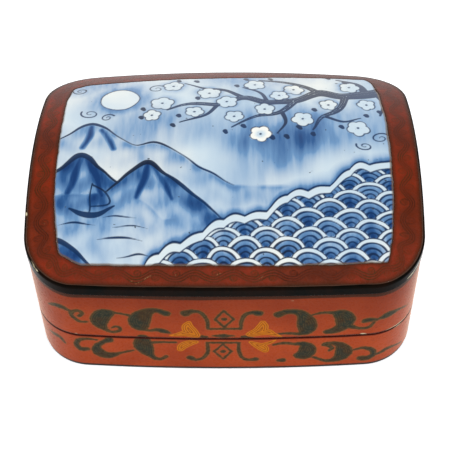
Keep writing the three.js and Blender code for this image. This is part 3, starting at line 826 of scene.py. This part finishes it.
def cadReach(along):
    # distance from the rim's outer edge straight in to the porcelain, at places along the outline
    spots = [(v.co.x / mm, v.co.y / mm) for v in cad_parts["porcelain_shard"].data.vertices]
    hull = np.array([spots[i] for i in convex_hull_2d(spots)])
    startX, startY = pointAt(along, 0)
    outX, outY = outlineAt(along)[3:]
    reach = np.full(startX.shape, 1e9)
    for (ax, ay), (bx, by) in zip(hull, np.roll(hull, -1, 0)):
        ex, ey = bx - ax, by - ay
        cross = -outX * ey + outY * ex
        cross = np.where(np.abs(cross) < 1e-9, 1e-9, cross)
        t = ((ax - startX) * ey - (ay - startY) * ex) / cross
        k = ((ax - startX) * -outY - (ay - startY) * -outX) / cross
        hit = (t > 0) & (k >= -1e-6) & (k <= 1 + 1e-6)
        reach = np.where(hit & (t < reach), t, reach)
    return reach


def brokenReach():
    along = fineAlong[:-1]
    window = np.hanning(shard["softenOver"])
    reach = np.pad(cadReach(along), shard["softenOver"] // 2, "wrap")
    reach = np.convolve(reach, window / window.sum(), "valid")
    reach += shard["chipSize"] * (0.6 + 0.6 * wander(along, 21, 3) + 0.35 * wander(along, 6.5, 8))
    return np.append(reach, reach[0])


shardReach = brokenReach()


def reachAt(along):
    return np.interp(np.asarray(along) % perimeter, fineAlong, shardReach)


def shardEdge(along, inset):
    # a place on the porcelain's outline, moved in by an inset
    return pointAt(along, reachAt(along) + inset)


def coonsPatch(front, right, back, left):
    # a surface patch between its four edges
    u = np.linspace(0, 1, front.shape[0])[None, :, None]
    v = np.linspace(0, 1, right.shape[0])[:, None, None]
    ruled = (1 - v) * front[None] + v * back[None] + (1 - u) * left[:, None] + u * right[:, None]
    corners = (1 - v) * ((1 - u) * front[0] + u * front[-1]) + v * ((1 - u) * back[0] + u * back[-1])
    return ruled - corners


def shardSpans(columns, rows):
    # the porcelain's four sides between the middles of its corners: front, right, back and left
    turn, half = frontLength + cornerLength / 2, 2 * quarter
    ends = [(-turn, turn), (turn, half - turn), (half + turn, half - turn), (-turn, turn - half)]
    return [np.linspace(*end, count + 1) for end, count in zip(ends, (columns, rows, columns, rows))]


def shardSurface(columns, rows, inset, depth):
    sides = [np.stack(shardEdge(span, inset), -1) for span in shardSpans(columns, rows)]
    plane = coonsPatch(*sides)
    return underTop(plane[..., 0], plane[..., 1], depth)


def makeShard():
    columns, rows, coarse = shard["columns"], shard["rows"], shard["coarse"]
    size, thick = shard["edgeRound"], shard["thickness"]
    bm = bmesh.new()
    addGrid(bm, shardSurface(columns, rows, size, 0.0))
    front, right, back, left = shardSpans(columns, rows)
    loop = np.concatenate([front[:-1], right[:-1], back[::-1][:-1], left[::-1]])
    steps = [(size, 0.0), (0.25 * size, 0.1 * size), (0.02, 0.5 * size), (0.0, size),
             (0.05, 0.5 * thick), (0.1, thick - 0.2), (0.5, thick)]
    side = [underTop(*shardEdge(loop, inset), depth) for inset, depth in steps]
    addGrid(bm, np.array(side[::-1]))
    bmesh.ops.remove_doubles(bm, verts=bm.verts, dist=mergeDistance)
    sideEdges = [e for e in bm.edges if e.is_boundary]
    under = addGrid(bm, shardSurface(columns // coarse, rows // coarse, shard["underInset"], thick))
    bmesh.ops.reverse_faces(bm, faces=list({f for v in under for f in v.link_faces}))
    underEdges = list({e for v in under for e in v.link_edges if e.is_boundary})
    bmesh.ops.bridge_loops(bm, edges=sideEdges + underEdges)
    paintShard(*finishPiece(bm, "porcelain_inlay", "lid", ["porcelain_shard"], porcelain))


# The picture on the porcelain, a generic one in cobalt: plum branch, moon, hills, boat and waves.
# Plan places in mm from the middle of the lid, with half widths of the brush.
picture = {
    "paintDepth": 1.2,  # points further under the lid's surface stay unpainted
    "tremor": 0.35,  # unsteadiness of the brush
    "outline": 0.3,
    "sky": 0.13,
    "skySwing": 0.2,
    "cloud": (30, 8, 44, 18, 0.42),  # place, half sizes and strength
    "ridgeSoftness": 2.4,
    "moon": (-46.0, 34.5, 8.5),
    "moonGlow": 6,
    "scaleRadius": 8.4,
    "arcGap": 2.1,
    "arcHalfWidth": 0.4,
    "crestLength": 8.5,
    "foamWidth": 3.1,
    "petals": 5,
    "petalRadius": 2.35,
    "heart": 0.6,
    "stamenReach": 1.5,
    "halo": 0.34,  # wash round a flower
    "white": -0.3,  # wash of the bare, whitest glaze
}
branches = [
    [(75, 45, 4.2), (62, 39, 3.5), (51, 36.5, 2.9), (41, 38.5, 3), (31, 32, 2.3), (19, 30, 1.9),
     (8, 33.5, 1.8), (-3, 28, 1.4), (-14, 29.5, 1.1), (-25, 25, 0.5)],
    [(41, 38.5, 2), (35, 45, 1.4), (26, 48.5, 1.1), (15, 51, 0.5)],
    [(52, 36.5, 2.2), (50, 27, 1.6), (42, 20, 1.1), (37, 11, 0.5)],
    [(31, 32, 1.7), (24, 23, 1.3), (13, 19, 0.9), (3, 12, 0.4)],
    [(8, 33.5, 1.4), (1, 40, 1.1), (-9, 43, 0.8), (-18, 48, 0.4)],
    [(-3, 28, 1.1), (-9, 20, 0.8), (-19, 15.5, 0.4)],
    [(62, 39, 2.2), (59, 48, 1.4), (50, 53, 0.6)],
    [(24, 23, 1), (26, 15, 0.7), (22, 8, 0.35)],
    [(42, 20, 0.9), (50, 17, 0.7), (58, 19.5, 0.35)],
    [(19, 30, 1), (15, 38, 0.8), (8, 43.5, 0.4)],
    [(66, 40, 1.8), (69, 30, 1.2), (66, 22, 0.5)],
]
blossoms = [
    (30, 41.5), (13, 46), (44.5, 29), (33, 18), (17, 25), (4, 19.5), (-7, 38), (-13, 23), (1, 30.5),
    (55, 45), (61, 30), (-27, 30), (23.5, 36), (-23, 45.5), (56, 12.5), (-31, 21), (15, 8),
]
buds = [
    (20, 52.5), (9, 52), (37, 8.5), (31, 12.5), (0, 9.5), (8, 13), (-21, 51), (-13, 50.5), (-22, 14),
    (-20, 20.5), (-35, 26), (-36, 20), (46, 55), (53, 50), (20, 6), (25.5, 6.5), (60, 22), (49, 13.5),
    (-12, 34), (66, 25), (5, 45.5), (38, 25),
]
shore = [
    (-36, -62), (-27, -49), (-12, -42), (1, -34), (15, -32), (27, -23), (41, -20), (53, -9), (65, -7),
    (76, 1),
]
# The last of these is a near bank
hills = [  # ridge with the brush's half width, depth of its wash, strength
    ([(-80, 1, 0.3), (-66, 10, 0.5), (-56, 16.5, 0.9), (-47, 10, 0.4), (-37, 2, 0.3), (-28, 3.5, 0.6),
      (-18, -4, 0.3), (-8, -12, 0.5), (4, -20, 0.2)], 13, 0.5),
    ([(-80, -17, 0.5), (-67, -9, 0.9), (-59, -2.5, 1.5), (-51, -10, 0.7), (-43, -18, 0.5),
      (-34, -25, 0.9), (-24, -34, 0.3)], 24, 1.05),
    ([(-47, -22, 0.4), (-39, -13, 0.8), (-31, -8, 1.3), (-24, -14, 0.7), (-17, -20, 0.9), (-8, -28, 0.5),
      (0, -36, 0.3)], 17, 0.95),
    ([(-80, -44, 0.4), (-68, -42, 1), (-60, -46, 0.9), (-52, -53, 0.5), (-46, -60, 0.3)], 20, 1.2),
]
folds = [
    [(-59, -4, 0.8), (-60.5, -12, 1.4), (-63, -22, 0.6)],
    [(-57, -5, 0.5), (-52, -14, 1.1), (-49, -24, 0.4)],
    [(-31, -9.5, 0.8), (-32.5, -17, 1.2), (-35, -25, 0.4)],
    [(-28, -11, 0.5), (-24, -19, 0.9), (-21, -26, 0.4)], [(-56, 14.5, 0.3), (-57, 8, 0.6), (-59, 2, 0.2)],
    [(-52, 12, 0.3), (-48, 6, 0.5), (-46, 0, 0.2)],
]
ripples = [
    [(-66, -36, 0.1), (-59, -35, 0.45), (-51, -36.5, 0.1)],
    [(-50, -43, 0.1), (-42, -42, 0.5), (-32, -44, 0.1)],
    [(-48, -33.4, 0.1), (-42, -33, 0.4), (-35, -34, 0.1)],
    [(-42, -50, 0.1), (-34, -49, 0.4), (-29, -50, 0.1)],
    [(-44, -38, 0.1), (-37, -37.4, 0.35), (-30, -38.6, 0.1)],
]
boat = [
    [(-62, -29, 0.4), (-57, -31.6, 1.1), (-50, -31.8, 1.2), (-44, -28.6, 0.4)],
    [(-54, -30.5, 0.4), (-53.6, -17.5, 0.35)],
    [(-53.6, -18, 0.4), (-48, -22, 0.4), (-46, -27.6, 0.4), (-53.8, -28.4, 0.3)],
]
sail = [[(-47.5, -26, 1.6), (-48.6, -23, 0.8)]]
cloudCurls = [
    (-30, 43, 4.6, 0), (-58, 24, 4.2, 2.6), (-50, 20.5, 3.2, 0.4), (58, 2, 3.4, 2.8), (65, 7, 4.4, 0.2),
    (-64, 44, 3.6, 2.9),
]


def curlStroke(x, y, radius, start):
    turns = np.linspace(0, 2.9 * math.pi, 30)
    size = radius * (1 - turns / (3.3 * math.pi))
    places = x + size * np.cos(start + turns), y + 0.8 * size * np.sin(start + turns)
    return np.stack([*places, 0.42 - 0.007 * np.arange(30)], -1)


def handDrawn(x, y, scale, seed):
    turn = 2 * math.pi / scale
    first = np.sin(turn * x + 1.3 * np.sin(turn * 0.7 * y + seed))
    return (first + np.sin(turn * 1.3 * y + 1.1 * np.sin(turn * 0.8 * x))) / 2


def ridgeBelow(points, x, y):
    path = smoothPath([(px, py, 0) for px, py, *_ in points], 10)
    return np.interp(x, path[:, 0], path[:, 1]) - y


def drawScene(line, wash, px, py):
    # hills in washes, the moon with a halo, curls of cloud, ripples and the boat
    cloudX, cloudY, halfLength, halfHeight, strength = picture["cloud"]
    fade = strength * np.exp(-np.hypot((px - cloudX) / halfLength, (py - cloudY) / halfHeight) ** 2)
    wash += fade * (0.8 + 0.3 * handDrawn(px, py, 26, 9))
    soft = picture["ridgeSoftness"]
    for points, depth, strength in hills:
        below = ridgeBelow(points, px, py)
        tone = strength * np.exp(-np.maximum(below, 0) / depth) * np.clip((below + soft / 2) / soft, 0, 1)
        tone *= 0.84 + 0.3 * handDrawn(px, py, 13, depth)
        wash = np.where(below > 0, np.maximum(wash * 0.4, tone), np.maximum(wash, tone))
        line = np.where(below > 0.6, np.maximum(line, 0.4), line)
        line = np.minimum(line, brushDistance([points], px, py))
    wash = np.maximum(wash, np.clip(0.9 - 0.5 * brushDistance(folds, px, py), 0, 1.1))
    moonX, moonY, moonRadius = picture["moon"]
    fromMoon = np.hypot(px - moonX, py - moonY) - moonRadius
    glow = np.maximum(wash, 0.5 * np.exp(-fromMoon / picture["moonGlow"]))
    wash = np.where(fromMoon > 0, glow, picture["white"])
    line = np.minimum(line, np.abs(fromMoon) - picture["outline"])
    curls = [curlStroke(*curl) for curl in cloudCurls]
    line = np.minimum(line, brushDistance(curls, px, py, smooth=False))
    line = np.minimum(line, brushDistance(ripples + boat, px, py))
    return line, np.maximum(wash, np.clip(-brushDistance(sail, px, py) * 0.4, 0, 0.5))


def drawWaves(line, wash, px, py):
    # overlapping scales of arcs, dark in the middle, under a scalloped crest of foam
    crest = ridgeBelow(shore, px, py) + 1.5 * np.abs(np.sin(px * math.pi / picture["crestLength"])) - 0.8
    foam = crest * 0.82
    big, row = picture["scaleRadius"], picture["scaleRadius"] * 0.5
    step = np.floor(py / row) - 1
    dy = py - step * row
    dx, dxNext = [
        (np.mod(px / (2 * big) + 0.5 * np.mod(step, 2) + shift, 1) - 0.5) * 2 * big for shift in (0, 0.5)]
    first, second, third = np.hypot(dx, dy), np.hypot(dxNext, dy - row), np.hypot(dx, dy - 2 * row)
    inward = big - np.where(first < big, first, np.where(second < big, second, third))
    arc = inward - picture["arcGap"] * np.round(inward / picture["arcGap"])
    halfWidth = picture["arcHalfWidth"] * (1 + 0.25 * handDrawn(px, py, 9, 3))
    halfWidth += np.where(inward < 1, 0.12, 0)
    sea = foam > picture["foamWidth"] + 0.1
    line = np.where(foam > -0.3, unpainted, line)
    line = np.where(sea, np.abs(arc) - halfWidth, line)
    line = np.minimum(line, np.abs(foam) - 0.42)
    line = np.minimum(line, np.abs(foam - picture["foamWidth"]) - picture["outline"])
    tone = 0.3 + 1.0 * np.clip((inward - 1.4) / big, 0, 1) * (0.8 + 0.4 * handDrawn(px, py, 24, 6))
    tone = np.where(inward < picture["arcGap"], -0.25, tone)
    wash = np.where(sea, tone, np.where(foam > 0, picture["white"], wash))
    shade = np.maximum(wash, 0.75 * np.exp(foam / 2.2))
    return line, np.where((foam < 0) & (foam > -6), shade, wash)


def drawPlum(line, wash, px, py):
    # a branch over everything, its thick parts lit by a fine line, with buds and open flowers
    wood = brushDistance(branches, px, py)
    line = np.minimum(line, np.where(wood < 0.8, wood, unpainted))
    thick = [[(a, b + 0.35 * r, 0.3 * r) for a, b, r in branch] for branch in branches[:4]]
    hollow = np.abs(brushDistance(thick, px, py)) - 0.22
    line = np.where((wood < -0.7) & (hollow < 0), 0.05, line)
    twigs = [[(bx, by, 1.15), (bx + 0.5, by - 0.9, 0.9)] for bx, by in buds]
    line = np.minimum(line, brushDistance(twigs, px, py))
    for k, (bx, by) in enumerate(blossoms):
        petals = np.full(px.shape, 9.0)
        radius = picture["petalRadius"] * (1 + 0.12 * math.sin(2.4 * k))
        for leaf in range(picture["petals"]):
            turn = 2 * math.pi * leaf / picture["petals"] + 0.7 * k
            away = np.hypot(px - bx - radius * math.cos(turn), py - by - radius * math.sin(turn))
            petals = np.minimum(petals, away - radius * 0.98)
        heart = np.hypot(px - bx, py - by)
        rays = 0.3 * np.abs(np.sin(picture["petals"] / 2 * np.arctan2(py - by, px - bx)))
        stamens = np.abs(heart - picture["stamenReach"]) - 0.14 + rays
        line = np.where(petals < 0, unpainted, line)
        inside = np.minimum(heart - picture["heart"], stamens)
        line = np.minimum(line, np.minimum(np.abs(petals + 0.1) - picture["outline"], inside))
        petalTone = 0.5 * np.clip(1 - heart / (1.2 * radius), 0, 1) + picture["white"]
        halo = picture["halo"] * np.exp(-np.maximum(petals, 0) / 2.2)
        wash = np.where(petals < 0, petalTone, np.maximum(wash, halo))
    return line, wash


def paintShard(piece, at):
    x, y = at["x"], at["y"]
    px = x + picture["tremor"] * handDrawn(x, y, 17, 1)
    py = y + picture["tremor"] * handDrawn(y, x, 19, 2)
    line = np.full(x.shape, unpainted)
    wash = picture["sky"] + picture["skySwing"] * handDrawn(x, y, 62, 4)
    for draw in (drawScene, drawWaves, drawPlum):
        line, wash = draw(line, wash, px, py)
    onTop = at["z"] > topHeight(x, y) - picture["paintDepth"]
    fromEdge = np.maximum(at["inset"] - reachAt(at["along"]), 0) - np.where(onTop, 0, 0.6)
    paint(piece, line=np.where(onTop, line, unpainted), wash=np.where(onTop, wash, 0.0), edge=fromEdge)


# Rubs and scratches on the rim: plan places in mm and half widths
rimScratches = [
    [(-36.9, -59.8, 0.03), (-35.4, -60.1, 0.08), (-33.8, -59.7, 0.08), (-31.4, -58.6, 0.04)],
    [(-36.2, -58.8, 0.1), (-35.2, -58.7, 0.12)],
    [(-31.2, -58.5, 0.06), (-29.7, -57.6, 0.13), (-27.9, -56.8, 0.07)],
    [(-18.7, -56.7, 0.1), (-18.7, -57.2, 0.1)],
    [(-3.6, -57.4, 0.05), (-2, -56.8, 0.1), (-0.5, -56.1, 0.05)],
    [(13.2, -58.6, 0.04), (14.5, -58, 0.1), (15.6, -57.3, 0.06)],
    [(-53, -60.7, 0.02), (-49.1, -61, 0.05), (-43.6, -61.4, 0.02)],
    [(70, -54.4, 0.12), (70.9, -53.3, 0.06), (70.6, -52.2, 0.1)],
    [(-72, -38, 0.03), (-71.4, -33, 0.06), (-71.8, -30, 0.03)],
]
# Rim round the porcelain with its running wave, in mm
rim = {
    "inset": cadInset("rim_lacquer") - 0.27,
    "thickness": 0.9,
    "shardGap": 0.12,
    "outerRound": 0.15,
    "innerRound": 0.35,
    "waveLength": 15.2,
    "waveRise": 0.17,  # as a share of the rim's width
    "curlRadius": 1.8,
    "curlOut": 0.9,
    "curlWidth": 8.0,  # width of the rim at which the curls are round
    "edgeDarkSway": 0.15,
}


def makeRim():
    outer, thick = rim["inset"], rim["thickness"]
    inner = shardReach - rim["shardGap"]
    piece, at = makeRing("lacquer_rim", "lid", ["rim_lacquer"], rimLacquer, fineAlong, [
        (outer, -thick, 0, 1),
        (outer, 0, rim["outerRound"], 14),
        (inner, 0, rim["innerRound"], 1),
        (inner, -thick, 0, 2),
    ], onTop=True)
    width = reachAt(at["along"]) - rim["shardGap"] - outer
    middle = at["inset"] - outer - width / 2
    count = round(perimeter / rim["waveLength"])
    phase = 2 * math.pi * count * at["along"] / perimeter
    rise = rim["waveRise"] * width
    slope = rise * 2 * math.pi / 16 * np.cos(phase)
    length = perimeter / count
    curls = [curlStroke(length * share, side * rim["curlOut"], rim["curlRadius"], start)
             for share, side, start in ((0.27, -1, 2.4), (0.77, 1, 5.5))]
    across = middle * rim["curlWidth"] / width
    toEdge = np.minimum(at["inset"] - outer, width - (at["inset"] - outer))
    paint(
        piece, swell=(middle - rise * np.sin(phase)) / np.sqrt(1 + slope ** 2),
        bay=brushDistance(curls, at["along"] % length, across, smooth=False),
        wear=brushDistance(rimScratches, at["x"], at["y"]),
        edge=toEdge + rim["edgeDarkSway"] * wander(at["along"], 40, 6))


# Linings, lip, floor and underside: rings and discs that follow the same outline
insides = {
    "lipThickness": 2.0,
    "lipRound": 0.7,
    "footRound": 0.35,
    "floorRound": 0.1,
    "plateEdge": 4,
    "liningThickness": 0.6,
    "ceilingDepth": 9.9,  # straight down from the lid's surface
    "ceilingRound": 3,
    "rings": 12,
    "roofRings": 16,
    "ceilingRings": 18,
}


def discRows(inset, height, count):
    # rings of places, from a point in the middle out to the outline
    x, y = pointAt(plainAlong, inset)
    shares = np.linspace(0, 1, count + 1)
    return [np.stack([x * k, y * k, np.broadcast_to(height(x * k, y * k), x.shape)], -1) for k in shares]


def makePlate(name, node, rounding, wearRange):
    low, high = cadBox(node)
    inset = cadInset(node)
    edge = inset + insides["plateEdge"]
    section = sectionRows(plainAlong, [
        (edge, low[2], 0, 3),
        (inset, low[2], rounding, 1),
        (inset, high[2], rounding, 3),
        (edge, high[2], 0, 1),
    ])[:-1]
    x, y = pointAt(plainAlong, section[:, 0])
    side = list(np.stack([x, y, section[:, 1]], -1))
    under = discRows(edge, lambda a, b: low[2], insides["rings"])[:-1]
    over = discRows(edge, lambda a, b: high[2], insides["rings"])[-2::-1]
    bm = bmesh.new()
    addGrid(bm, np.array(under + side + over))
    piece, at = finishPiece(bm, name, "base", [node], insideLacquer)
    sway = 0.2 * wander(at["along"], 50, 9)
    paint(piece, wear=0.1 - (at["inset"] - inset) * wearRange + sway, lap=-1.0)


def makeLip():
    low, high = cadBox("inner_lip")
    outer = cadInset("inner_lip")
    inner = outer + insides["lipThickness"]
    piece, at = makeRing("locating_lip", "base", ["inner_lip"], insideLacquer, plainAlong, [
        (outer, low[2], 0, 10),
        (outer, high[2], insides["lipRound"], 1),
        (inner, high[2], insides["lipRound"], 10),
        (inner, low[2], 0, 1),
    ])
    sway = 0.2 * wander(at["along"], 70, 4)
    paint(piece, wear=0.42 - (high[2] - at["z"]) * 0.9 + sway, lap=-1.0)


def makeLidLining():
    low = cadBox("lid_lining")[0][2]
    outer = cadInset("lid_lining")
    inner = outer + insides["liningThickness"]
    roof, bend = insides["ceilingDepth"], insides["ceilingRound"]
    skin = roof - insides["liningThickness"]
    x, y = pointAt(plainAlong, outer)
    rise = topHeight(x, y) - skin - low
    wallRows = [np.stack([x, y, low + rise * k], -1) for k in np.linspace(0, 1, 7)]
    roofRows = discRows(outer, lambda a, b: topHeight(a, b) - skin, insides["roofRings"])[-2::-1]
    bm = bmesh.new()
    addGrid(bm, np.array(wallRows + roofRows))
    ceilingRows = discRows(inner + bend, lambda a, b: topHeight(a, b) - roof, insides["ceilingRings"])[:-1]
    bendRows = [underTop(*pointAt(plainAlong, inner + bend * (1 - t) ** 2), roof + bend * t ** 2)
                for t in np.linspace(0, 1, 7)]
    x, y = pointAt(plainAlong, inner)
    top = topHeight(x, y) - roof - bend
    innerRows = [np.stack([x, y, top + (low - top) * k], -1) for k in np.linspace(0, 1, 14)[1:]]
    addGrid(bm, np.array(ceilingRows + bendRows + innerRows + [wallRows[0]]))
    piece, at = finishPiece(
        bm, "lid_inside_lining", "lid", ["lid_lining"], insideLacquer)
    sway = 0.15 * wander(at["along"], 70, 7)
    paint(piece, wear=0.4 - (at["z"] - low) * 0.6 + sway, lap=-1.0)


makeBaseCoat()
makeLidCoat()
makeBand()
makeRim()
makeShard()
makePlate("underside_lacquer", "underside_coat", insides["footRound"], 0.45)
makePlate("floor_lacquer", "floor_lining", insides["floorRound"], 0.8)
makeLip()
makeLidLining()

# The wooden core and the ground under the top keep their CAD shapes and take real finishes
for name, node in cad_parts.items():
    if node.hide_render:
        continue
    if name in ("rim_ground", "shard_bedding"):
        finish = lacquerGround
    elif "left" in name or "right" in name:
        finish = endWood
    else:
        finish = boardWood
    node.data.materials.clear()
    node.data.materials.append(finish)
print("core dressed")
